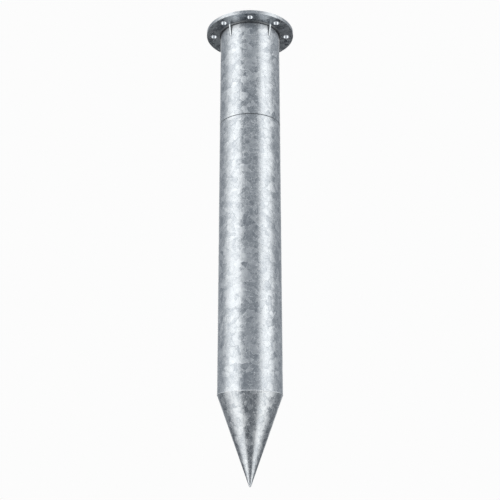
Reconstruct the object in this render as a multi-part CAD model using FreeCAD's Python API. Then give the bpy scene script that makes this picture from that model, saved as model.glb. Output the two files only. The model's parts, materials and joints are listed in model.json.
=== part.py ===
import FreeCAD, Part
import math
import os

# A driven pile: a steel tube with a bolting flange on top and a hollow driving cone at its foot.
# The origin is the centre of the flange's top face. The pile runs down from there along -Z,
# and its front faces -Y. Lengths are in millimetres and angles in degrees.

# Flange
FLANGE_DIAMETER = 248.0
FLANGE_THICKNESS = 10.0
FLANGE_EDGE_CHAMFER = 1.0
BOLT_HOLE_DIAMETER = 17.0
BOLT_HOLE_COUNT = 8

# Tube, in two lengths: the head hangs in the flange and the shaft goes on below the splice
TUBE_DIAMETER = 168.0
TUBE_WALL = 5.0
BORE_CLEARANCE = 0.3
HEAD_SET_BACK = 5.0
HEAD_LENGTH = 285.0
SHAFT_LENGTH = 750.0

# Splice between the two lengths: a narrow groove, ground down until its weld lies below the surface
SPLICE_GROOVE_WIDTH = 2.4
SPLICE_GROOVE_DEPTH = 3.0
SPLICE_WELD_RECESS = 0.8

# Driving cone, rolled from plate. Its length runs down to the place where its sides would meet.
CONE_LENGTH = 232.0
CONE_WALL = 5.0
CONE_HOLE_DIAMETER = 3.8
CONE_SEAM_GAP = 1.6
NOSE_END_DIAMETER = 4.0

# Gussets, two in front and two behind, each turned away from the middle of its side
GUSSET_THICKNESS = 5.0
GUSSET_HEIGHT = 35.0
GUSSET_REACH = 6.0
GUSSET_TOE = 2.5
GUSSET_FOOT = 0.5
GUSSET_SPREAD = 40.0

# Welds
FLANGE_WELD_LEG = 5.0
INNER_WELD_LEG = 4.0
GUSSET_WELD_LEG = 3.0
CONE_GROOVE_WIDTH = 3.0
CONE_GROOVE_DEPTH = 2.0
CONE_WELD_CROWN = 0.25
SEAM_BEAD_WIDTH = 5.0
SEAM_BEAD_CROWN = 0.6
SEAM_BEAD_START = 30.0

# Directions round the pile, as angles from +X
SIDES = {"front": -90.0, "right": 0.0, "back": 90.0, "left": 180.0}
GUSSETS = {
    "front_left": SIDES["front"] - GUSSET_SPREAD,
    "front_right": SIDES["front"] + GUSSET_SPREAD,
    "back_right": SIDES["back"] - GUSSET_SPREAD,
    "back_left": SIDES["back"] + GUSSET_SPREAD,
}

# Radii worked out from the sizes above. The bolts stand midway between the tube and the flange's edge.
BOLT_CIRCLE_DIAMETER = (TUBE_DIAMETER + FLANGE_DIAMETER) / 2
TUBE_RADIUS = TUBE_DIAMETER / 2
TUBE_BORE = TUBE_RADIUS - TUBE_WALL
FLANGE_BORE = TUBE_RADIUS + BORE_CLEARANCE

# Heights along the pile
UNDERSIDE = -FLANGE_THICKNESS
HEAD_TOP = -HEAD_SET_BACK
SPLICE = UNDERSIDE - HEAD_LENGTH
CONE_TOP = SPLICE - SHAFT_LENGTH
GROOVE_TOP = CONE_TOP + CONE_GROOVE_WIDTH / 2
GROOVE_FOOT = CONE_TOP - CONE_GROOVE_WIDTH / 2
GUSSET_FOOT_HEIGHT = UNDERSIDE - GUSSET_HEIGHT

# The cone's slope, and the heights where its outside, its hollow and its plate end
CONE_SLOPE = TUBE_RADIUS / CONE_LENGTH
HALF_ANGLE = math.atan(CONE_SLOPE)
APEX = CONE_TOP - CONE_LENGTH
HOLLOW_APEX = APEX + CONE_WALL / math.sin(HALF_ANGLE)
NOSE_JOINT = HOLLOW_APEX + CONE_HOLE_DIAMETER / 2 / CONE_SLOPE
SEAM_SWEEP = math.degrees(CONE_SEAM_GAP / TUBE_RADIUS)

CENTRE = FreeCAD.Vector(0, 0, 0)
UP = FreeCAD.Vector(0, 0, 1)


def at(radius, height):
    """A point of a profile in the plane of +X and +Z."""
    return FreeCAD.Vector(radius, 0, height)


def profile(*points):
    return Part.Face(Part.makePolygon([*points, points[0]]))


def turned(face, sweep=360):
    """The solid that a profile makes when it is turned about the pile's axis."""
    return face.revolve(CENTRE, UP, sweep)


def swung(shape, angle):
    """The shape, drawn along +X, swung round the pile's axis to the angle."""
    copy = shape.copy()
    copy.rotate(CENTRE, UP, angle)
    return copy


def upright(radius, low, high):
    return Part.makeCylinder(radius, high - low, at(0, low))


def cone_radius(height):
    """The outside radius of the driving cone at a height."""
    return (height - APEX) * CONE_SLOPE


def hollow_radius(height):
    """The inside radius of the driving cone at a height."""
    return (height - HOLLOW_APEX) * CONE_SLOPE


def flange_plate():
    radius = FLANGE_DIAMETER / 2
    edge = FLANGE_EDGE_CHAMFER
    plate = turned(
        profile(
            at(FLANGE_BORE, 0),
            at(radius - edge, 0),
            at(radius, -edge),
            at(radius, UNDERSIDE + edge),
            at(radius - edge, UNDERSIDE),
            at(FLANGE_BORE, UNDERSIDE),
        )
    )
    hole = upright(BOLT_HOLE_DIAMETER / 2, UNDERSIDE, 0)
    hole.translate(at(BOLT_CIRCLE_DIAMETER / 2, 0))
    holes = []
    for index in range(BOLT_HOLE_COUNT):
        holes.append(swung(hole, SIDES["front"] + index * 360 / BOLT_HOLE_COUNT))
    return plate.cut(Part.makeCompound(holes))


def head_tube():
    """The short tube length, with the upper half of the splice's groove at its foot."""
    return turned(
        profile(
            at(TUBE_BORE, HEAD_TOP),
            at(TUBE_RADIUS, HEAD_TOP),
            at(TUBE_RADIUS, SPLICE + SPLICE_GROOVE_WIDTH / 2),
            at(TUBE_RADIUS - SPLICE_GROOVE_DEPTH, SPLICE),
            at(TUBE_BORE, SPLICE),
        )
    )


def shaft_tube():
    """The long tube length, with half of the splice's groove above and of the cone's groove below."""
    return turned(
        profile(
            at(TUBE_BORE, SPLICE),
            at(TUBE_RADIUS - SPLICE_GROOVE_DEPTH, SPLICE),
            at(TUBE_RADIUS, SPLICE - SPLICE_GROOVE_WIDTH / 2),
            at(TUBE_RADIUS, GROOVE_TOP),
            at(TUBE_RADIUS - CONE_GROOVE_DEPTH, CONE_TOP),
            at(TUBE_BORE, CONE_TOP),
        )
    )


def splice_weld():
    """The weld in the splice's groove, which it fills up to its recess."""
    fill = SPLICE_GROOVE_DEPTH - SPLICE_WELD_RECESS
    half_width = SPLICE_GROOVE_WIDTH / 2 * fill / SPLICE_GROOVE_DEPTH
    surface = TUBE_RADIUS - SPLICE_WELD_RECESS
    return turned(
        profile(
            at(TUBE_RADIUS - SPLICE_GROOVE_DEPTH, SPLICE),
            at(surface, SPLICE - half_width),
            at(surface, SPLICE + half_width),
        )
    )


def cone_plate_profile():
    """A cut through the rolled plate, with the other half of the groove at its upper edge."""
    return profile(
        at(hollow_radius(CONE_TOP), CONE_TOP),
        at(TUBE_RADIUS - CONE_GROOVE_DEPTH, CONE_TOP),
        at(cone_radius(GROOVE_FOOT), GROOVE_FOOT),
        at(cone_radius(NOSE_JOINT), NOSE_JOINT),
        at(hollow_radius(NOSE_JOINT), NOSE_JOINT),
    )


def tip_cone():
    """The rolled plate. It stops short of a full turn, and its edges face each other at the back."""
    plate = turned(cone_plate_profile(), 360 - SEAM_SWEEP)
    return swung(plate, SIDES["back"] + SEAM_SWEEP / 2)


def seam_bead():
    """A thin bar sunk into the cone's surface along its seam, so that only its crown stands out."""
    radius = (SEAM_BEAD_WIDTH**2 / 4 + SEAM_BEAD_CROWN**2) / (2 * SEAM_BEAD_CROWN)
    along = at(TUBE_RADIUS, CONE_LENGTH).normalize()
    outward = at(CONE_LENGTH, -TUBE_RADIUS).normalize()
    start = at(0, APEX) + outward * (SEAM_BEAD_CROWN - radius)
    bar = Part.makeCylinder(radius, math.hypot(TUBE_RADIUS, CONE_LENGTH), start, along)
    span = upright(TUBE_DIAMETER, APEX + SEAM_BEAD_START, GROOVE_FOOT)
    inside = turned(profile(at(0, CONE_TOP), at(TUBE_RADIUS, CONE_TOP), at(0, APEX)))
    return swung(bar, SIDES["back"]).common(span).cut(inside)


def cone_seam_weld():
    """The weld between the rolled plate's edges, with the bead on top of it."""
    filling = swung(turned(cone_plate_profile(), SEAM_SWEEP), SIDES["back"] - SEAM_SWEEP / 2)
    return filling.fuse(seam_bead()).removeSplitter()


def cone_weld():
    """The weld in the groove between tube and cone, a little proud of the corner."""
    return turned(
        profile(
            at(TUBE_RADIUS - CONE_GROOVE_DEPTH, CONE_TOP),
            at(TUBE_RADIUS, GROOVE_TOP),
            at(TUBE_RADIUS + CONE_WELD_CROWN, CONE_TOP),
            at(cone_radius(GROOVE_FOOT), GROOVE_FOOT),
        )
    )


def tip_nose():
    """The solid point that closes the cone. It has a small flat end."""
    end = NOSE_END_DIAMETER / 2
    low = APEX + end / CONE_SLOPE
    return Part.makeCone(end, cone_radius(NOSE_JOINT), NOSE_JOINT - low, at(0, low))


def gusset_blank(thickness):
    """The gusset's outline along +X as a plate of this thickness, seated on the tube's outside."""
    face = profile(
        at(TUBE_BORE, UNDERSIDE),
        at(TUBE_RADIUS + GUSSET_REACH, UNDERSIDE),
        at(TUBE_RADIUS + GUSSET_REACH, UNDERSIDE - GUSSET_TOE),
        at(TUBE_RADIUS + GUSSET_FOOT, GUSSET_FOOT_HEIGHT),
        at(TUBE_BORE, GUSSET_FOOT_HEIGHT),
    )
    face.translate(FreeCAD.Vector(0, -thickness / 2, 0))
    plate = face.extrude(FreeCAD.Vector(0, thickness, 0))
    return plate.cut(upright(TUBE_RADIUS, SPLICE, 0))


def gusset(angle):
    return swung(gusset_blank(GUSSET_THICKNESS), angle)


def gusset_weld(angle):
    """The two upright fillets of a gusset. They narrow at its foot, where the gusset does."""
    side = GUSSET_THICKNESS / 2
    toe = side + GUSSET_WELD_LEG
    root = FreeCAD.Vector(TUBE_BORE, side, GUSSET_FOOT_HEIGHT)
    on_gusset = FreeCAD.Vector(TUBE_RADIUS + GUSSET_WELD_LEG, side, GUSSET_FOOT_HEIGHT)
    on_tube = FreeCAD.Vector(math.sqrt(TUBE_RADIUS**2 - toe**2), toe, GUSSET_FOOT_HEIGHT)
    rise = UP * (UNDERSIDE - FLANGE_WELD_LEG - GUSSET_FOOT_HEIGHT)
    fillet = profile(root, on_gusset, on_tube).extrude(rise).common(gusset_blank(2 * toe))
    other = fillet.mirror(CENTRE, FreeCAD.Vector(0, 1, 0))
    return swung(Part.makeCompound([fillet, other]), angle)


def flange_weld_ring():
    """The fillet under the flange, broken where the gussets stand."""
    corner = at(TUBE_RADIUS, UNDERSIDE)
    on_tube = at(TUBE_RADIUS, UNDERSIDE - FLANGE_WELD_LEG)
    on_plate = at(TUBE_RADIUS + FLANGE_WELD_LEG, UNDERSIDE)
    ring = turned(profile(corner, on_tube, on_plate))
    gap = Part.makeBox(
        FLANGE_DIAMETER,
        GUSSET_THICKNESS,
        GUSSET_HEIGHT,
        FreeCAD.Vector(0, -GUSSET_THICKNESS / 2, GUSSET_FOOT_HEIGHT),
    )
    return ring.cut(Part.makeCompound([swung(gap, angle) for angle in GUSSETS.values()]))


def flange_weld(ring, angle):
    """The run of the flange weld that lies on one side of the pile."""
    way = swung(Part.Vertex(1, 0, 0), angle).Point
    return max(ring.Solids, key=lambda run: run.CenterOfMass.dot(way))


def flange_inner_weld():
    """The fillet on the tube's end, inside the flange's bore and below its top face."""
    corner = at(FLANGE_BORE, HEAD_TOP)
    on_bore = at(FLANGE_BORE, HEAD_TOP + INNER_WELD_LEG)
    on_tube = at(FLANGE_BORE - INNER_WELD_LEG, HEAD_TOP)
    return turned(profile(corner, on_bore, on_tube))


def pieces():
    """Every piece of the pile, under the name of its node."""
    found = {
        "flange_plate": flange_plate(),
        "head_tube": head_tube(),
        "shaft_tube": shaft_tube(),
        "tip_cone": tip_cone(),
        "tip_nose": tip_nose(),
        "flange_inner_weld": flange_inner_weld(),
        "splice_weld": splice_weld(),
        "cone_weld": cone_weld(),
        "cone_seam_weld": cone_seam_weld(),
    }
    for name, angle in GUSSETS.items():
        found["gusset_" + name] = gusset(angle)
        found["gusset_weld_" + name] = gusset_weld(angle)
    ring = flange_weld_ring()
    for name, angle in SIDES.items():
        found["flange_weld_" + name] = flange_weld(ring, angle)
    return found


os.makedirs("parts", exist_ok=True)
for name, shape in pieces().items():
    shape.exportStep("parts/" + name + ".step")
    print(f"{name}: {len(shape.Solids)} solid, {shape.Volume / 1000:.2f} cm3, valid {shape.isValid()}")
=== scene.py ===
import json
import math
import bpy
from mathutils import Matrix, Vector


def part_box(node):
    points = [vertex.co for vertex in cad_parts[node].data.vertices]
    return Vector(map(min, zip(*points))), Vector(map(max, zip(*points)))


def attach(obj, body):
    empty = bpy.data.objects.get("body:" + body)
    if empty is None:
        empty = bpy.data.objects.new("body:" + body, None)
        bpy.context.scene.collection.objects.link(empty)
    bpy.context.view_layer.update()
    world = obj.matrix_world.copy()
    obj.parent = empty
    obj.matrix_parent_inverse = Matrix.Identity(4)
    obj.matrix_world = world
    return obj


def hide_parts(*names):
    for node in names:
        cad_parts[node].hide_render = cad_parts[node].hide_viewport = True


bl_info = {
    "name": "Driven pile finish",
    "version": (1, 0, 0),
    "blender": (4, 5, 0),
    "location": "View3D > Sidebar > Pile",
    "description": "Zinc, welds and edges for a galvanised driven pile, with a plain studio round it",
    "category": "Object",
}

import bmesh
import bpy
from bpy.props import FloatProperty, FloatVectorProperty, PointerProperty
from bpy.types import Operator, Panel, PropertyGroup
from mathutils import Vector

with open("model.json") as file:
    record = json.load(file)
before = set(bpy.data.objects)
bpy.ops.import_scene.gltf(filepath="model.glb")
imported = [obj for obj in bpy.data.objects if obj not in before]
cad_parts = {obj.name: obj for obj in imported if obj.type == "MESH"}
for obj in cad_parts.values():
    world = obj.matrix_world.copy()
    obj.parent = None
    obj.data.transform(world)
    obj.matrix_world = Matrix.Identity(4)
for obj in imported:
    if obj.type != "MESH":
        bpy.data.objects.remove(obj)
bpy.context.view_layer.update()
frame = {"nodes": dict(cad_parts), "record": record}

# The pile runs down along -Z from the centre of its flange's top face, and its front faces -Y.
# Directions round its axis are in degrees from +X towards +Y.
CENTRE = (0.0, 0.0, 0.0)
UP = (0.0, 0.0, 1.0)
BODY = "root"
SIDES = {"front": -90.0, "right": 0.0, "back": 90.0, "left": 180.0}
GUSSET_NAMES = ("front_left", "front_right", "back_right", "back_left")

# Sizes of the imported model, in metres
MOUNTS = {mount["name"]: mount for mount in frame["record"]["mounts"]}
BOLTS = MOUNTS["flange_bolts"]["dims"]
HOLE_RADIUS = BOLTS["hole_r_mm"] / 1000
BOLT_CIRCLE_RADIUS = BOLTS["pcd_mm"] / 2000
FLANGE_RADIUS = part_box("flange_plate")[1].x
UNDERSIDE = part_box("flange_plate")[0].z
TUBE_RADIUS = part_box("shaft_tube")[1].x
HEAD_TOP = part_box("head_tube")[1].z
CONE_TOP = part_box("shaft_tube")[0].z
NOSE_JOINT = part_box("tip_nose")[1].z
NOSE_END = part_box("tip_nose")[0].z
NOSE_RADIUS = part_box("tip_nose")[1].x
GUSSET_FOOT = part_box("gusset_front_left")[0].z

# How deep a piece is let into the one that carries it, so that no gap shows between them
SEAT = 0.002

# A ripple of a fillet weld, in parts of the weld's leg: the distance of its middle from each of the two
# plates, and half its width and half its depth. Half its length is in parts of the ripples' pitch.
FILLET_MIDDLE = 0.42
FILLET_HALF_WIDTH = 0.66
FILLET_HALF_DEPTH = 0.3
FILLET_HALF_LENGTH = 0.95

# The fillet beside a gusset, in parts of its leg: how far the middle of its first ripple stands off from
# tube and gusset, half a ripple's sizes in these two directions, and how far the fillet sinks on its way
# down. Its pitch is in parts of the other welds' pitch.
UPRIGHT_START = (0.2, 0.3)
UPRIGHT_HALF_SIZES = (0.5, 0.7)
UPRIGHT_SINKS = (0.6, 0.3)
UPRIGHT_PITCH = 0.8

# The weld round the cone, in parts of half its width, and how far it stands out of the surface
CONE_WELD_DEPTH = 0.7
CONE_WELD_HALF_LENGTH = 1.1
CONE_WELD_PITCH = 1.2
CONE_WELD_SKIN = 0.8
CONE_WELD_CROWN = 0.00025

# The weld down the cone's seam: how far it stands out, how thick its ripples are, and half their length,
# in parts of their pitch
SEAM_CROWN = 0.0006
SEAM_DEPTH = 0.0014
SEAM_HALF_LENGTH = 0.9

# How much of the flat end of the nose is rounded
NOSE_ROUNDING = 0.9

# Patterns in the zinc. Sizes, but for the grain's height in metres, are in parts of the spangle's width.
# Each of the spangles has a size and a share of the pattern. Needles are fine lines in a spangle, blotches
# are wide clouds, swells are wide low waves, and the stir bends the spangles' edges.
SPANGLES = ((1.0, 0.7), (0.5, 0.4), (0.28, 0.15))
SPANGLE_GLOSS = 0.2
NEEDLES = 40.0
NEEDLE_TONE = 0.12
STIR_SCALE = 1.6
STIR_REACH = 0.3
BLOTCH_SIZE = 3.5
GRAIN_SIZE = 0.12
GRAIN_TONE = 0.1
GRAIN_HEIGHT = 0.00003
SWELL_SIZE = 1.6
SWELL_HEIGHT = 0.03

# The painted shade on the tube's outside, a darker colour just under the flange where its shade falls:
# how far under the flange it begins and where it is full, how far over and under the flange's underside it
# ends, how deep under the tube's surface it goes, how much of it there is, and how dark it is
PAINTED_SHADE_BEGINS = 0.026
PAINTED_SHADE_IS_FULL = 0.004
PAINTED_SHADE_ENDS = 0.002
PAINTED_SHADE_SKIN = (0.003, 0.001)
PAINTED_SHADE_SHARE = 0.62
PAINTED_SHADE_TONE = 0.3

# The studio's light by direction, in degrees. Aside is the turn from the pile's front, to the right, or
# to the left where it is below 0. Turn is the same for both sides, and rise is the height over the
# horizon. Each pair says where an edge begins and where it ends.
LEFT_LAMP = ((-23.5, -44.5), (-118.0, -64.0))
RIGHT_LAMP = ((28.0, 48.0), (108.0, 63.0))
LAMP_FOOT = (-64.0, -52.0)
LAMP_TOP = (65.0, 50.0)
LAMP_LOWER_PART = (-14.0, -26.0)
REAR_LAMP = (156.0, 168.0)
REAR_LAMP_FOOT = (-14.0, -4.0)
DARK_BEHIND = ((98.0, 138.0), (2.0, -12.0), (-48.0, -38.0))
LIGHT_BESIDE = ((95.0, 118.0), (142.0, 124.0))

# How much brighter the lamps' lower part is, how bright the one behind is compared with them, and by how
# much the sky is darker behind and lighter beside
LOWER_PART_GAIN = 0.1
REAR_SHARE = 0.7
BEHIND_LOSS = 0.62
BESIDE_GAIN = 0.1

# How bright the sky is, from straight down at 0 to straight up at 1, and where the lamps stand
SKY = ((0.0, 0.32), (0.2, 0.26), (0.27, 0.18), (0.33, 0.195), (0.5, 0.385), (0.68, 0.36), (1.0, 1.0))
SKY_AT_LAMPS = 0.4

# Colours and strength of light
COOL_SKY = (0.95, 1.0, 1.06)
WARM_LAMP = (1.0, 0.98, 0.945)
WHITE = (1.0, 1.0, 1.0)
FLOOR_GLOW = (1.0, 0.945, 0.886)
FLOOR_GLOW_STRENGTH = 0.31
FLOOR_GREY = (0.8, 0.8, 0.8)
FLOOR_SIZE = 400.0


class PileZinc(PropertyGroup):
    """How the zinc looks."""

    light: FloatVectorProperty(
        name="Light zinc",
        description="Colour of the brightest spangles",
        subtype="COLOR",
        size=3,
        min=0.0,
        max=1.0,
        default=(0.80, 0.835, 0.865),
    )
    dark: FloatVectorProperty(
        name="Dark zinc",
        description="Colour of the dullest spangles",
        subtype="COLOR",
        size=3,
        min=0.0,
        max=1.0,
        default=(0.42, 0.455, 0.495),
    )
    spangle: FloatProperty(
        name="Spangle size",
        description="How wide a spangle of zinc is",
        unit="LENGTH",
        min=0.002,
        default=0.015,
    )
    gloss: FloatProperty(
        name="Roughness",
        description="Roughness of the zinc on the tube",
        subtype="FACTOR",
        min=0.05,
        max=1.0,
        default=0.27,
    )
    metal: FloatProperty(
        name="Metal",
        description="How much of the surface is bright metal, and not dull patina",
        subtype="FACTOR",
        min=0.0,
        max=1.0,
        default=0.92,
    )


class PilePlates(PropertyGroup):
    """The flange and the gussets under it."""

    edge: FloatProperty(
        name="Edge rounding",
        description="How far the zinc rounds the edges of the plates",
        unit="LENGTH",
        min=0.0,
        default=0.0009,
    )
    gusset_thickness: FloatProperty(
        name="Gusset thickness",
        description="Thickness of a gusset's plate",
        unit="LENGTH",
        min=0.001,
        default=0.005,
    )
    gusset_reach: FloatProperty(
        name="Gusset reach",
        description="How far a gusset stands out from the tube under the flange",
        unit="LENGTH",
        min=0.001,
        default=0.006,
    )
    gusset_toe: FloatProperty(
        name="Gusset toe",
        description="Height of the upright toe at a gusset's outer corner",
        unit="LENGTH",
        min=0.0,
        default=0.0025,
    )
    gusset_foot: FloatProperty(
        name="Gusset foot",
        description="How far a gusset stands out from the tube at its foot",
        unit="LENGTH",
        min=0.0,
        default=0.0005,
    )


class PileBeads(PropertyGroup):
    """The welds, laid as overlapping ripples."""

    pitch: FloatProperty(
        name="Ripple pitch",
        description="Distance from one ripple of a fillet weld to the next",
        unit="LENGTH",
        min=0.001,
        default=0.0028,
    )
    flange_leg: FloatProperty(
        name="Flange weld leg",
        description="Leg of the fillet weld under the flange",
        unit="LENGTH",
        min=0.001,
        default=0.005,
    )
    inner_leg: FloatProperty(
        name="Inner weld leg",
        description="Leg of the fillet weld on the tube's end, inside the flange",
        unit="LENGTH",
        min=0.001,
        default=0.004,
    )
    gusset_leg: FloatProperty(
        name="Gusset weld leg",
        description="Leg of the upright fillet welds beside a gusset",
        unit="LENGTH",
        min=0.001,
        default=0.003,
    )
    cone_width: FloatProperty(
        name="Cone weld width",
        description="Width of the flat weld between tube and cone",
        unit="LENGTH",
        min=0.001,
        default=0.0034,
    )
    seam_width: FloatProperty(
        name="Seam weld width",
        description="Width of the weld along the rolled cone's seam",
        unit="LENGTH",
        min=0.001,
        default=0.005,
    )
    skin: FloatProperty(
        name="Bead detail",
        description="Size of the facets of a weld bead",
        unit="LENGTH",
        min=0.0002,
        default=0.0005,
    )


class PileStudio(PropertyGroup):
    """The camera, the light and the floor."""

    lens: FloatProperty(
        name="Lens",
        description="Focal length of the camera, in millimetres on its sensor",
        min=10.0,
        default=67.42,
    )
    stand_off: FloatProperty(
        name="Camera distance",
        description="How far in front of the pile's axis the camera stands",
        unit="LENGTH",
        default=2.3794,
    )
    eye: FloatProperty(
        name="Camera height",
        description="Height of the camera, from the flange's top face",
        unit="LENGTH",
        default=-1.4268,
    )
    pitch: FloatProperty(
        name="Camera pitch",
        description="How far the camera looks up",
        subtype="ANGLE",
        default=math.radians(17.951),
    )
    floor: FloatProperty(
        name="Floor height",
        description="Height of the floor, from the flange's top face. It lies below every view's camera",
        unit="LENGTH",
        default=-3.5,
    )
    backdrop: FloatProperty(
        name="Backdrop",
        description="Brightness of the plain backdrop behind the pile",
        min=0.0,
        default=0.974,
    )
    lamps: FloatProperty(
        name="Soft lamps",
        description="Brightness of the two tall soft lamps in front, left and right",
        min=0.0,
        default=1.62,
    )


class Socket:
    """An output of a node. Arithmetic on it adds Math nodes to the same tree."""

    def __init__(self, graph, output):
        self.graph = graph
        self.output = output

    def also(self, name):
        """Another output of the same node."""
        return Socket(self.graph, self.output.node.outputs[name])

    def math(self, operation, *values):
        sockets = dict(enumerate(values))
        return self.graph.add("ShaderNodeMath", {"operation": operation}, sockets)

    def __add__(self, other):
        return self.math("ADD", self, other)

    def __radd__(self, other):
        return self.math("ADD", other, self)

    def __sub__(self, other):
        return self.math("SUBTRACT", self, other)

    def __rsub__(self, other):
        return self.math("SUBTRACT", other, self)

    def __mul__(self, other):
        return self.math("MULTIPLY", self, other)

    def __rmul__(self, other):
        return self.math("MULTIPLY", other, self)

    def __truediv__(self, other):
        return self.math("DIVIDE", self, other)

    def __rtruediv__(self, other):
        return self.math("DIVIDE", other, self)

    def __pow__(self, other):
        return self.math("POWER", self, other)

    def __abs__(self):
        return self.math("ABSOLUTE", self)


class Graph:
    """A node tree that is being built."""

    def __init__(self, tree):
        tree.nodes.clear()
        self.tree = tree

    def add(self, kind, settings=None, sockets=None, output=0):
        """Adds a node: first its settings, then the values or links of its sockets."""
        node = self.tree.nodes.new(kind)
        for name, setting in (settings or {}).items():
            if name == "stops":
                self.set_stops(node.color_ramp, setting)
            else:
                setattr(node, name, setting)
        for name, value in (sockets or {}).items():
            if isinstance(value, Socket):
                self.tree.links.new(value.output, node.inputs[name])
            else:
                node.inputs[name].default_value = value
        if len(node.outputs) == 0:
            return None
        return Socket(self, node.outputs[output])

    @staticmethod
    def set_stops(ramp, stops):
        """Gives a ramp its stops, as (place, grey level) pairs."""
        while len(ramp.elements) < len(stops):
            ramp.elements.new(1.0)
        for element, (place, level) in zip(ramp.elements, stops):
            element.position = place
            element.color = (level, level, level, 1.0)

    def vector(self, operation, first, second, output="Vector"):
        sockets = {0: first, 1: second}
        return self.add("ShaderNodeVectorMath", {"operation": operation}, sockets, output)

    def ease(self, value, start, end):
        """0 up to start and 1 from end on, with a smooth rise between. It falls where end is lower."""
        if end < start:
            return 1.0 - self.ease(value, end, start)
        settings = {"interpolation_type": "SMOOTHSTEP"}
        sockets = {"Value": value, "From Min": start, "From Max": end}
        return self.add("ShaderNodeMapRange", settings, sockets)

    def mix(self, factor, first, second):
        """A colour between two."""
        sockets = {"Factor": factor, 6: first, 7: second}
        return self.add("ShaderNodeMix", {"data_type": "RGBA"}, sockets, 2)

    def glow(self, colour, strength):
        """A light of this colour from the world."""
        return self.add("ShaderNodeBackground", {}, {"Color": rgba(colour), "Strength": strength})

    def both(self, first, second):
        """Two lights or surfaces added up."""
        return self.add("ShaderNodeAddShader", {}, {0: first, 1: second})

    def noise(self, place, size, detail=2.0):
        """A soft noise whose lumps are about this size."""
        sockets = {"Vector": place, "Scale": 1 / size, "Detail": detail}
        return self.add("ShaderNodeTexNoise", {}, sockets, "Fac")

    def cells(self, place, size):
        """Cells of about this size, each with a colour of its own and a centre."""
        settings = {"feature": "F1", "voronoi_dimensions": "3D"}
        return self.add("ShaderNodeTexVoronoi", settings, {"Vector": place, "Scale": 1 / size}, "Color")


def rgba(colour):
    return (*colour, 1.0)


def painted_shade_below_flange(graph, place):
    """How much painted shade the tube gets: 1 outside close to the flange's weld, 0 further down and
    inside.
    """
    across = graph.add("ShaderNodeSeparateXYZ", {}, {"Vector": place}, "X")
    along = across.also("Y")
    level = across.also("Z")
    radius = (across * across + along * along) ** 0.5
    outside = graph.ease(radius, *(TUBE_RADIUS - depth for depth in PAINTED_SHADE_SKIN))
    below = graph.ease(level, UNDERSIDE + PAINTED_SHADE_ENDS, UNDERSIDE - PAINTED_SHADE_ENDS)
    return outside * below * graph.ease(level, UNDERSIDE - PAINTED_SHADE_BEGINS, UNDERSIDE - PAINTED_SHADE_IS_FULL)


def galvanised(
    name, zinc, spangle=1.0, rougher=0.0, contrast=0.8, cloud=0.3, lean=0.05, shade=1.0, corner=None
):
    """Hot-dip zinc: spangles of three sizes, each with its own tone, gloss and lean, under a faint cloud.

    The spangle is in parts of the tube's, and rougher says how far the roughness is above the tube's.
    Shade scales the zinc's colours, and in several finishes paints light or shade. The last argument,
    where given, is a mask where the colour darkens as painted shade.
    """
    spangle = zinc.spangle * spangle
    material = bpy.data.materials.new(name)
    material.use_nodes = True
    graph = Graph(material.node_tree)
    place = graph.add("ShaderNodeTexCoord", output="Object")

    sockets = {"Vector": place, "Scale": STIR_SCALE / spangle, "Detail": 2.0}
    stir = graph.add("ShaderNodeTexNoise", {}, sockets, "Color")
    push = graph.vector("SUBTRACT", stir, (0.5, 0.5, 0.5))
    bent = graph.vector("ADD", place, graph.vector("MULTIPLY", push, (spangle * STIR_REACH,) * 3))

    tone = 0.5
    height = 0.0
    gloss = zinc.gloss + rougher
    for width, weight in SPANGLES:
        size = spangle * width
        cells = graph.cells(bent, size)
        parts = graph.add("ShaderNodeSeparateColor", {}, {"Color": cells})
        tone = (parts - 0.5) * (weight * contrast) + tone
        gloss = (parts - 0.5) * (weight * SPANGLE_GLOSS) + gloss
        tilt = graph.vector("SUBTRACT", cells, (0.5, 0.5, 0.5))
        reach = graph.vector("SUBTRACT", bent, cells.also("Position"))
        slope = graph.vector("DOT_PRODUCT", tilt, reach, "Value")
        needles = slope.math("SINE", slope * (NEEDLES / size))
        tone = needles * (weight * contrast * NEEDLE_TONE) + tone
        height = slope * (lean * weight) + height

    blotch = graph.noise(place, spangle * BLOTCH_SIZE, 3.0)
    grain = graph.noise(place, spangle * GRAIN_SIZE)
    tone = tone + (blotch - 0.5) * cloud + (grain - 0.5) * (GRAIN_TONE * contrast)
    light = rgba([min(part * shade, 1.0) for part in zinc.light])
    dark = rgba([min(part * shade, 1.0) for part in zinc.dark])
    colour = graph.mix(tone, dark, light)
    # Painted shade: where the mask is, the colour is mixed towards near-black zinc
    if corner:
        painted_shade_colour = rgba([part * PAINTED_SHADE_TONE for part in zinc.dark])
        colour = graph.mix(corner(graph, place) * PAINTED_SHADE_SHARE, colour, painted_shade_colour)

    swell = graph.noise(place, spangle * SWELL_SIZE) * (spangle * SWELL_HEIGHT)
    height = height + swell + grain * GRAIN_HEIGHT
    bump = graph.add("ShaderNodeBump", {}, {"Strength": 1.0, "Distance": 1.0, "Height": height})

    sockets = {"Base Color": colour, "Metallic": zinc.metal, "Roughness": gloss, "Normal": bump}
    surface = graph.add("ShaderNodeBsdfPrincipled", {}, sockets)
    graph.add("ShaderNodeOutputMaterial", {}, {"Surface": surface})


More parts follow.
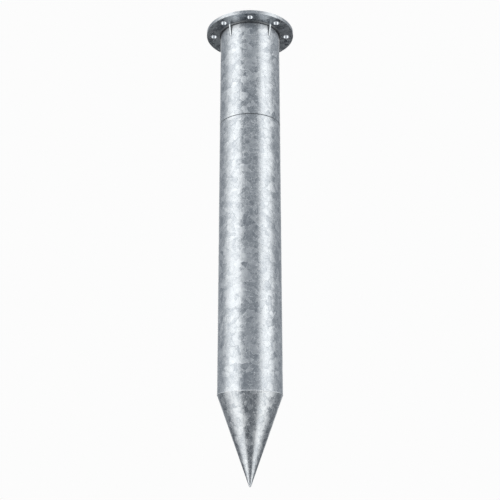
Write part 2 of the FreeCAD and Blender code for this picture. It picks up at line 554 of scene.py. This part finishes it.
# The finishes, with what each has that isn't the usual. Some are lighter or darker copies of the zinc
# that paint light or shade, as marked beside them.
FINISHES = {
    # Darkens under the flange as painted shade
    "zinc_on_tube": {"contrast": 0.9, "lean": 0.06, "corner": painted_shade_below_flange},
    "zinc_on_plate": {"spangle": 0.9, "rougher": 0.04, "contrast": 1.3, "cloud": 1.2, "lean": 0.1},
    # A lighter copy of the zinc: a painted highlight on the gussets' edges
    "zinc_on_edge": {"spangle": 0.4, "contrast": 0.6, "shade": 1.2},
    # A little darker than the plate: painted shade that dims the rim's highlight
    "zinc_on_rim": {"spangle": 0.6, "rougher": 0.03, "shade": 0.92},
    "zinc_on_cone": {"spangle": 0.78, "rougher": 0.02, "contrast": 1.0, "cloud": 0.25, "lean": 0.07},
    "zinc_on_weld": {"spangle": 0.4, "shade": 1.15},
    # Lightened to white: a painted highlight along the weld round the cone
    "zinc_on_cone_weld": {"spangle": 0.4, "rougher": 0.15, "contrast": 0.5, "lean": 0.03, "shade": 1.6},
    # Smoother zinc, lightened as a painted highlight on the hole walls
    "zinc_in_hole": {"spangle": 0.4, "rougher": -0.1, "contrast": 0.6, "shade": 1.15},
    # Near-black zinc: painted shade in the corners under the flange and beside the gussets
    "zinc_in_corner": {"spangle": 0.4, "shade": 0.28},
    # Dark oxide in the splice groove, darkened further as painted shade of the recess
    "zinc_in_groove": {"spangle": 0.4, "rougher": 0.43, "shade": 0.3},
}


def material(name):
    """A zinc finish of the pile, made when it is first asked for."""
    if name not in bpy.data.materials:
        galvanised(name, bpy.context.scene.pile_zinc, **FINISHES[name])
    return bpy.data.materials[name]


def finish_node(node, finish):
    """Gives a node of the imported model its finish."""
    mesh = frame["nodes"][node].data
    mesh.materials.clear()
    mesh.materials.append(material(finish))


def clear_selection():
    """Leaves nothing selected, so that the next primitive stands alone."""
    bpy.ops.object.select_all(action="DESELECT")


def new_piece(name):
    """Names the primitive that was just added, and opens it for editing."""
    piece = bpy.context.object
    piece.name = name
    bpy.ops.object.mode_set(mode="EDIT")
    bpy.ops.mesh.select_mode(type="VERT")
    return piece


def choose(piece, parts, test):
    """Selects only the vertices or faces of the open piece that pass the test."""
    bpy.ops.mesh.select_all(action="DESELECT")
    bpy.ops.mesh.select_mode(type="FACE" if parts == "faces" else "VERT")
    mesh = bmesh.from_edit_mesh(piece.data)
    for part in getattr(mesh, parts):
        part.select_set(test(part))
    mesh.select_flush_mode()
    bmesh.update_edit_mesh(piece.data)


def close_piece():
    bpy.ops.object.mode_set(mode="OBJECT")


def apply(piece, kind, **settings):
    """Adds a modifier to the piece and applies it."""
    bpy.context.view_layer.objects.active = piece
    modifier = piece.modifiers.new(kind.title(), kind)
    for name, setting in settings.items():
        setattr(modifier, name, setting)
    bpy.ops.object.modifier_apply(modifier=modifier.name)


def mount(piece, finish, slot, *nodes):
    """Settles a finished piece on the pile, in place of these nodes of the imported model."""
    bpy.context.view_layer.objects.active = piece
    piece.select_set(True)
    bpy.ops.object.transform_apply(location=True, rotation=True, scale=True)
    piece.data.materials.clear()
    piece.data.materials.append(material(finish))
    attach(piece, BODY)
    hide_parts(*nodes)
    clear_selection()


def smooth(piece, angle):
    """Shades the piece smooth, apart from edges that turn by more than the angle in degrees."""
    bpy.context.view_layer.objects.active = piece
    piece.select_set(True)
    bpy.ops.object.shade_smooth_by_angle(angle=math.radians(angle))


def round_edges(piece, width, angle):
    """Rounds the edges that turn by more than the angle in degrees, and keeps the faces flat."""
    limit = math.radians(angle)
    apply(piece, "BEVEL", width=width, segments=3, limit_method="ANGLE", angle_limit=limit)
    smooth(piece, 40)
    apply(piece, "WEIGHTED_NORMAL", keep_sharp=True)


def scallop(name, place, half_sizes, lean=0.0):
    """One ripple of a weld that runs along +Y: an ellipsoid, leant about +Y by an angle in degrees."""
    clear_selection()
    bpy.ops.mesh.primitive_uv_sphere_add(
        segments=14,
        ring_count=9,
        radius=1.0,
        location=place,
        rotation=(0.0, math.radians(lean), 0.0),
        scale=half_sizes,
    )
    bpy.ops.object.transform_apply(location=True, rotation=True, scale=True)
    return new_piece(name)


def merge_ripples(bead, skin):
    """Joins the ripples into one skin and evens it a little, as molten zinc does."""
    apply(bead, "REMESH", mode="VOXEL", voxel_size=skin, use_smooth_shade=True)
    apply(bead, "SMOOTH", factor=0.5, iterations=2)


def ring_bead(name, place, half_sizes, lean, pitch, skin, start=0.0, sweep=360.0):
    """A weld round the pile's axis: one ripple, repeated by turning it from start through the sweep."""
    bead = scallop(name, place, half_sizes, lean)
    bpy.ops.mesh.select_all(action="SELECT")
    bpy.ops.transform.rotate(value=-math.radians(start), orient_axis="Z", center_override=CENTRE)
    ripples = round(math.radians(sweep) * place[0] / pitch)
    steps = ripples - 1 if sweep == 360.0 else ripples
    turn_copies(math.radians(sweep) * steps / ripples, steps)
    close_piece()
    merge_ripples(bead, skin)
    return bead


def turn_copies(angle, steps):
    """Copies what is selected round the pile's axis, in steps up to the angle, from +X towards +Y."""
    bpy.ops.mesh.spin(steps=steps, dupli=True, angle=-angle, center=CENTRE, axis=UP)


def line_bead(name, place, half_sizes, lean, pitch, skin, run):
    """A straight weld: one ripple, repeated along the run."""
    bead = scallop(name, place, half_sizes, lean)
    close_piece()
    step = Vector(run).normalized() * pitch
    apply(
        bead,
        "ARRAY",
        count=round(Vector(run).length / pitch) + 1,
        use_relative_offset=False,
        use_constant_offset=True,
        constant_offset_displace=step,
    )
    merge_ripples(bead, skin)
    return bead


def centre_angle(node):
    """The direction from the pile's axis to the middle of a node, in degrees from +X."""
    middle = (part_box(node)[0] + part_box(node)[1]) / 2
    return math.degrees(math.atan2(middle.y, middle.x))


def mount_copies(pattern, prefix, finish, slot, node_prefix):
    """Copies a piece that was modelled along +X to the four gussets, and removes the first one."""
    clear_selection()
    for name in GUSSET_NAMES:
        copy = pattern.copy()
        copy.data = pattern.data.copy()
        copy.name = prefix + name
        copy.rotation_euler.z = math.radians(centre_angle("gusset_" + name))
        bpy.context.collection.objects.link(copy)
        mount(copy, finish, slot, node_prefix + name)
    bpy.data.objects.remove(pattern)


class PILE_OT_tubes(Operator):
    """Finish the two lengths of tube and the weld in the groove between them"""

    bl_idname = "pile.tubes"
    bl_label = "Tubes"

    def execute(self, context):
        # The tubes' zinc darkens just under the flange as painted shade
        for node in ("head_tube", "shaft_tube"):
            finish_node(node, "zinc_on_tube")
        # The groove's weld is dark oxide and painted shade of the recess
        finish_node("splice_weld", "zinc_in_groove")
        return {"FINISHED"}


class PILE_OT_flange(Operator):
    """Model the flange plate, with its bore and its bolt holes"""

    bl_idname = "pile.flange"
    bl_label = "Flange"

    def execute(self, context):
        flange = self.plate_with_bore()
        self.drill_bolt_holes(flange)
        round_edges(flange, context.scene.pile_plates.edge, 60)
        mount(flange, "zinc_on_plate", "galvanised_plate", "flange_plate")
        self.finish_cut_faces(flange)
        flange.visible_glossy = False
        return {"FINISHED"}

    @staticmethod
    def plate_with_bore():
        """A disc whose two faces are inset as far as the bore, and then bridged."""
        clear_selection()
        bpy.ops.mesh.primitive_cylinder_add(
            vertices=192, radius=FLANGE_RADIUS, depth=-UNDERSIDE, location=(0.0, 0.0, UNDERSIDE / 2)
        )
        flange = new_piece("flange")
        choose(flange, "faces", lambda face: abs(face.normal.z) > 0.5)
        bpy.ops.mesh.inset(thickness=FLANGE_RADIUS - TUBE_RADIUS)
        bpy.ops.mesh.bridge_edge_loops()
        close_piece()
        return flange

    @staticmethod
    def drill_bolt_holes(flange):
        clear_selection()
        bpy.ops.mesh.primitive_cylinder_add(
            vertices=48,
            radius=HOLE_RADIUS,
            depth=-3 * UNDERSIDE,
            location=(0.0, -BOLT_CIRCLE_RADIUS, UNDERSIDE / 2),
        )
        bpy.ops.object.transform_apply(location=True)
        drill = new_piece("drill")
        count = BOLTS["count"]
        bpy.ops.mesh.select_all(action="SELECT")
        turn_copies(2 * math.pi * (count - 1) / count, count - 1)
        close_piece()
        apply(flange, "BOOLEAN", operation="DIFFERENCE", object=drill, solver="EXACT")
        bpy.data.objects.remove(drill)

    @staticmethod
    def finish_cut_faces(flange):
        """Gives the bolt holes' walls and the rim smoother zinc that ran off there: lighter in the holes
        as a painted highlight, darker on the rim as painted shade.
        """
        flange.data.materials.append(material("zinc_in_hole"))
        flange.data.materials.append(material("zinc_on_rim"))
        for face in flange.data.polygons:
            radius = face.center.xy.length
            if abs(face.normal.z) < 0.3 and abs(radius - BOLT_CIRCLE_RADIUS) < HOLE_RADIUS * 1.05:
                face.material_index = 1
            elif abs(face.normal.z) < 0.9 and radius > FLANGE_RADIUS * 0.98:
                face.material_index = 2


class PILE_OT_gussets(Operator):
    """Model one gusset and copy it to its four places"""

    bl_idname = "pile.gussets"
    bl_label = "Gussets"

    def execute(self, context):
        plates = context.scene.pile_plates
        gusset = self.plate(plates)
        round_edges(gusset, plates.edge, 30)
        # The gussets get a lighter zinc, a painted highlight on their edges
        mount_copies(gusset, "gusset_plate_", "zinc_on_edge", "galvanised_plate", "gusset_")
        return {"FINISHED"}

    @staticmethod
    def plate(plates):
        """A block as high as the toe along +X, whose underside is drawn down and in to the foot."""
        inner = TUBE_RADIUS - SEAT
        outer = TUBE_RADIUS + plates.gusset_reach
        clear_selection()
        bpy.ops.mesh.primitive_cube_add(
            size=1.0,
            location=((inner + outer) / 2, 0.0, UNDERSIDE - plates.gusset_toe / 2),
            scale=(outer - inner, plates.gusset_thickness, plates.gusset_toe),
        )
        bpy.ops.object.transform_apply(location=True, rotation=True, scale=True)
        gusset = new_piece("gusset")
        choose(gusset, "faces", lambda face: face.normal.z < -0.5)
        drop = GUSSET_FOOT - UNDERSIDE + plates.gusset_toe
        bpy.ops.mesh.extrude_region_move(TRANSFORM_OT_translate={"value": (0.0, 0.0, drop)})
        middle = (inner + outer) / 2
        choose(gusset, "verts", lambda point: point.co.z < GUSSET_FOOT + SEAT and point.co.x > middle)
        slope = plates.gusset_foot - plates.gusset_reach
        bpy.ops.transform.translate(value=(slope, 0.0, 0.0))
        close_piece()
        return gusset


class PILE_OT_flange_welds(Operator):
    """Lay the fillet welds under the flange, in four runs between the gussets, and the one inside it"""

    bl_idname = "pile.flange_welds"
    bl_label = "Flange welds"

    def execute(self, context):
        beads = context.scene.pile_beads
        half_gusset = context.scene.pile_plates.gusset_thickness / 2
        middle_of_ripple, sizes = self.ripple(beads.flange_leg, beads.pitch)
        place = (TUBE_RADIUS + middle_of_ripple, 0.0, UNDERSIDE - middle_of_ripple)
        clear_of_gusset = math.degrees((half_gusset + sizes[1]) / TUBE_RADIUS)
        gussets = sorted(centre_angle("gusset_" + name) % 360 for name in GUSSET_NAMES)
        for side, middle in SIDES.items():
            start = max((angle for angle in gussets if angle < middle % 360), default=gussets[-1] - 360)
            sweep = 2 * (middle % 360 - start - clear_of_gusset)
            start = start + clear_of_gusset
            bead = ring_bead(
                "bead_under_flange_" + side, place, sizes, -45, beads.pitch, beads.skin, start, sweep
            )
            # These welds are near-black zinc, painted shade in the corner under the flange
            mount(bead, "zinc_in_corner", "galvanised_weld", "flange_weld_" + side)

        middle_of_ripple, sizes = self.ripple(beads.inner_leg, beads.pitch)
        place = (TUBE_RADIUS - middle_of_ripple, 0.0, HEAD_TOP + middle_of_ripple)
        bead = ring_bead("bead_inside_flange", place, sizes, -45, beads.pitch, beads.skin)
        mount(bead, "zinc_on_weld", "galvanised_weld", "flange_inner_weld")
        return {"FINISHED"}

    @staticmethod
    def ripple(leg, pitch):
        """How far the middle of a ripple is from each of the two plates, and its half sizes."""
        sizes = (leg * FILLET_HALF_WIDTH, pitch * FILLET_HALF_LENGTH, leg * FILLET_HALF_DEPTH)
        return leg * FILLET_MIDDLE, sizes


class PILE_OT_gusset_welds(Operator):
    """Lay the two upright fillet welds of a gusset and copy them to the other three"""

    bl_idname = "pile.gusset_welds"
    bl_label = "Gusset welds"

    def execute(self, context):
        beads = context.scene.pile_beads
        side = context.scene.pile_plates.gusset_thickness / 2
        leg = beads.gusset_leg
        top = UNDERSIDE - beads.flange_leg
        pitch = beads.pitch * UPRIGHT_PITCH
        off_tube, off_gusset = (leg * part for part in UPRIGHT_START)
        place = (TUBE_RADIUS + off_tube, side + off_gusset, top)
        sizes = (*(leg * part for part in UPRIGHT_HALF_SIZES), pitch)
        run = (*(-leg * part for part in UPRIGHT_SINKS), GUSSET_FOOT - top)
        fillet = line_bead("upright_fillet", place, sizes, 0, pitch, beads.skin, run)
        apply(fillet, "MIRROR", use_axis=(False, True, False))
        # The gusset welds are near-black zinc, painted shade under the flange
        mount_copies(
            fillet, "bead_beside_gusset_", "zinc_in_corner", "galvanised_weld", "gusset_weld_"
        )
        return {"FINISHED"}


class PILE_OT_cone(Operator):
    """Finish the rolled cone, and model its welds and its solid nose"""

    bl_idname = "pile.cone"
    bl_label = "Driving cone"

    def execute(self, context):
        beads = context.scene.pile_beads
        finish_node("tip_cone", "zinc_on_cone")
        self.ring_weld(beads)
        self.seam_weld(beads)
        self.nose()
        return {"FINISHED"}

    @staticmethod
    def ring_weld(beads):
        """The weld between tube and cone: low ripples, a little proud of the corner."""
        half_width = beads.cone_width / 2
        depth = half_width * CONE_WELD_DEPTH
        place = (TUBE_RADIUS + CONE_WELD_CROWN - depth, 0.0, CONE_TOP)
        sizes = (depth, half_width * CONE_WELD_HALF_LENGTH, half_width)
        pitch = half_width * CONE_WELD_PITCH
        bead = ring_bead("bead_round_cone", place, sizes, 0, pitch, beads.skin * CONE_WELD_SKIN)
        # The weld's zinc is lightened to white, a painted highlight along the cone
        mount(bead, "zinc_on_cone_weld", "galvanised_weld", "cone_weld")

    @staticmethod
    def seam_weld(beads):
        """The weld down the back of the cone, where the rolled plate's edges meet."""
        half_width = beads.seam_width / 2
        top = Vector((TUBE_RADIUS, 0.0, CONE_TOP))
        foot = Vector((NOSE_RADIUS, 0.0, NOSE_JOINT))
        run = foot - top
        outward = Vector((-run.z, 0.0, run.x)).normalized()
        start = top + run.normalized() * beads.cone_width - outward * (SEAM_DEPTH - SEAM_CROWN)
        run = run - run.normalized() * beads.cone_width
        lean = math.degrees(math.atan2(run.x, run.z)) + 180
        sizes = (SEAM_DEPTH, half_width, beads.pitch * SEAM_HALF_LENGTH)
        bead = line_bead("bead_down_cone", start, sizes, lean, beads.pitch, beads.skin, run)
        bead.rotation_euler.z = math.radians(centre_angle("cone_seam_weld"))
        mount(bead, "zinc_on_weld", "galvanised_weld", "cone_seam_weld")

    @staticmethod
    def nose():
        """A solid point with a rounded end."""
        clear_selection()
        slope = (TUBE_RADIUS - NOSE_RADIUS) / (CONE_TOP - NOSE_JOINT)
        end = NOSE_RADIUS - (NOSE_JOINT - NOSE_END) * slope
        bpy.ops.mesh.primitive_cone_add(
            vertices=96,
            radius1=end,
            radius2=NOSE_RADIUS,
            depth=NOSE_JOINT - NOSE_END,
            location=(0.0, 0.0, (NOSE_JOINT + NOSE_END) / 2),
        )
        bpy.ops.object.transform_apply(location=True)
        nose = new_piece("nose")
        choose(nose, "faces", lambda face: face.normal.z < -0.9)
        bpy.ops.mesh.bevel(offset=end * NOSE_ROUNDING, segments=6, affect="EDGES")
        close_piece()
        smooth(nose, 50)
        mount(nose, "zinc_on_weld", "galvanised_weld", "tip_nose")


class PILE_OT_studio(Operator):
    """Set up the floor, the soft light and the camera"""

    bl_idname = "pile.studio"
    bl_label = "Studio"

    def execute(self, context):
        studio = context.scene.pile_studio
        self.lay_floor(studio)
        self.light_world(context.scene, studio)
        self.place_camera(context.scene, studio)
        return {"FINISHED"}

    @staticmethod
    def lay_floor(studio):
        """A plain floor that glows a little, so that it has the backdrop's tone."""
        clear_selection()
        bpy.ops.mesh.primitive_plane_add(size=FLOOR_SIZE, location=(0.0, 0.0, studio.floor))
        floor = bpy.context.object
        floor.name = "studio_floor"
        floor.visible_glossy = False
        floor.visible_diffuse = False
        pale = bpy.data.materials.new("pale_floor")
        pale.use_nodes = True
        graph = Graph(pale.node_tree)
        sockets = {
            "Base Color": rgba(FLOOR_GREY),
            "Roughness": 0.9,
            "Specular IOR Level": 0.0,
            "Emission Color": rgba(FLOOR_GLOW),
            "Emission Strength": FLOOR_GLOW_STRENGTH,
        }
        surface = graph.add("ShaderNodeBsdfPrincipled", {}, sockets)
        graph.add("ShaderNodeOutputMaterial", {}, {"Surface": surface})
        floor.data.materials.append(pale)

    @staticmethod
    def light_world(scene, studio):
        """Soft light by direction, and a plain bright backdrop where the camera looks past the pile."""
        world = bpy.data.worlds.new("studio")
        world.use_nodes = True
        scene.world = world
        graph = Graph(world.node_tree)
        way = graph.add("ShaderNodeTexCoord", output="Generated")
        right = graph.add("ShaderNodeSeparateXYZ", {}, {"Vector": way}, "X")
        front = 0.0 - right.also("Y")
        aside = right.math("ARCTAN2", right, front) * math.degrees(1)
        rise = right.math("ARCSINE", right.also("Z")) * math.degrees(1)
        turn = abs(aside)

        ramp = {"Fac": (rise + 90.0) / 180.0}
        sky = graph.add("ShaderNodeValToRGB", {"stops": SKY}, ramp, "Color")
        sky = graph.add("ShaderNodeSeparateColor", {}, {"Color": sky})
        side, top, foot = DARK_BEHIND
        behind = graph.ease(turn, *side) * graph.ease(rise, *top) * graph.ease(rise, *foot)
        first, last = LIGHT_BESIDE
        beside = graph.ease(turn, *first) * graph.ease(turn, *last)
        sky = sky * (1.0 + beside * BESIDE_GAIN - behind * BEHIND_LOSS)

        lamps = 0.0
        for inner, outer in (LEFT_LAMP, RIGHT_LAMP):
            lamps = graph.ease(aside, *inner) * graph.ease(aside, *outer) + lamps
        lamps = lamps * graph.ease(rise, *LAMP_FOOT) * graph.ease(rise, *LAMP_TOP)
        lamps = lamps * (1.0 + graph.ease(rise, *LAMP_LOWER_PART) * LOWER_PART_GAIN)
        rear = graph.ease(turn, *REAR_LAMP) * graph.ease(rise, *REAR_LAMP_FOOT)
        lamps = lamps + rear * graph.ease(rise, *LAMP_TOP) * REAR_SHARE
        lamps = lamps * (studio.lamps - SKY_AT_LAMPS)

        seen = graph.add("ShaderNodeLightPath", output="Is Camera Ray")
        unseen = 1.0 - seen
        light = graph.both(graph.glow(COOL_SKY, sky * unseen), graph.glow(WARM_LAMP, lamps * unseen))
        light = graph.both(light, graph.glow(WHITE, seen * studio.backdrop))
        graph.add("ShaderNodeOutputWorld", {}, {"Surface": light})

    @staticmethod
    def place_camera(scene, studio):
        clear_selection()
        bpy.ops.object.camera_add(
            location=(0.0, -studio.stand_off, studio.eye),
            rotation=(math.pi / 2 + studio.pitch, 0.0, 0.0),
        )
        camera = bpy.context.object
        camera.name = "studio_camera"
        camera.data.lens = studio.lens
        camera.data.sensor_width = 36.0
        scene.camera = camera
        scene.view_settings.view_transform = "Standard"


class PILE_PT_panel(Panel):
    """The pile's steps, in the order in which they are run"""

    bl_label = "Driven pile"
    bl_idname = "PILE_PT_panel"
    bl_space_type = "VIEW_3D"
    bl_region_type = "UI"
    bl_category = "Pile"

    def draw(self, context):
        layout = self.layout
        for step in STEPS:
            layout.operator(step.bl_idname)
        scene = context.scene
        for group in (scene.pile_zinc, scene.pile_plates, scene.pile_beads, scene.pile_studio):
            for name in group.bl_rna.properties.keys():
                if name not in ("rna_type", "name"):
                    layout.prop(group, name)


GROUPS = {
    "pile_zinc": PileZinc,
    "pile_plates": PilePlates,
    "pile_beads": PileBeads,
    "pile_studio": PileStudio,
}
STEPS = (
    PILE_OT_tubes,
    PILE_OT_flange,
    PILE_OT_flange_welds,
    PILE_OT_gussets,
    PILE_OT_gusset_welds,
    PILE_OT_cone,
    PILE_OT_studio,
)
CLASSES = (*GROUPS.values(), *STEPS, PILE_PT_panel)


def register():
    for part in CLASSES:
        bpy.utils.register_class(part)
    for name, group in GROUPS.items():
        setattr(bpy.types.Scene, name, PointerProperty(type=group))


def unregister():
    for name in GROUPS:
        delattr(bpy.types.Scene, name)
    for part in reversed(CLASSES):
        bpy.utils.unregister_class(part)


def main():
    register()
    bpy.ops.pile.tubes()
    bpy.ops.pile.flange()
    bpy.ops.pile.flange_welds()
    bpy.ops.pile.gussets()
    bpy.ops.pile.gusset_welds()
    bpy.ops.pile.cone()
    bpy.ops.pile.studio()


if __name__ == "__main__":
    main()
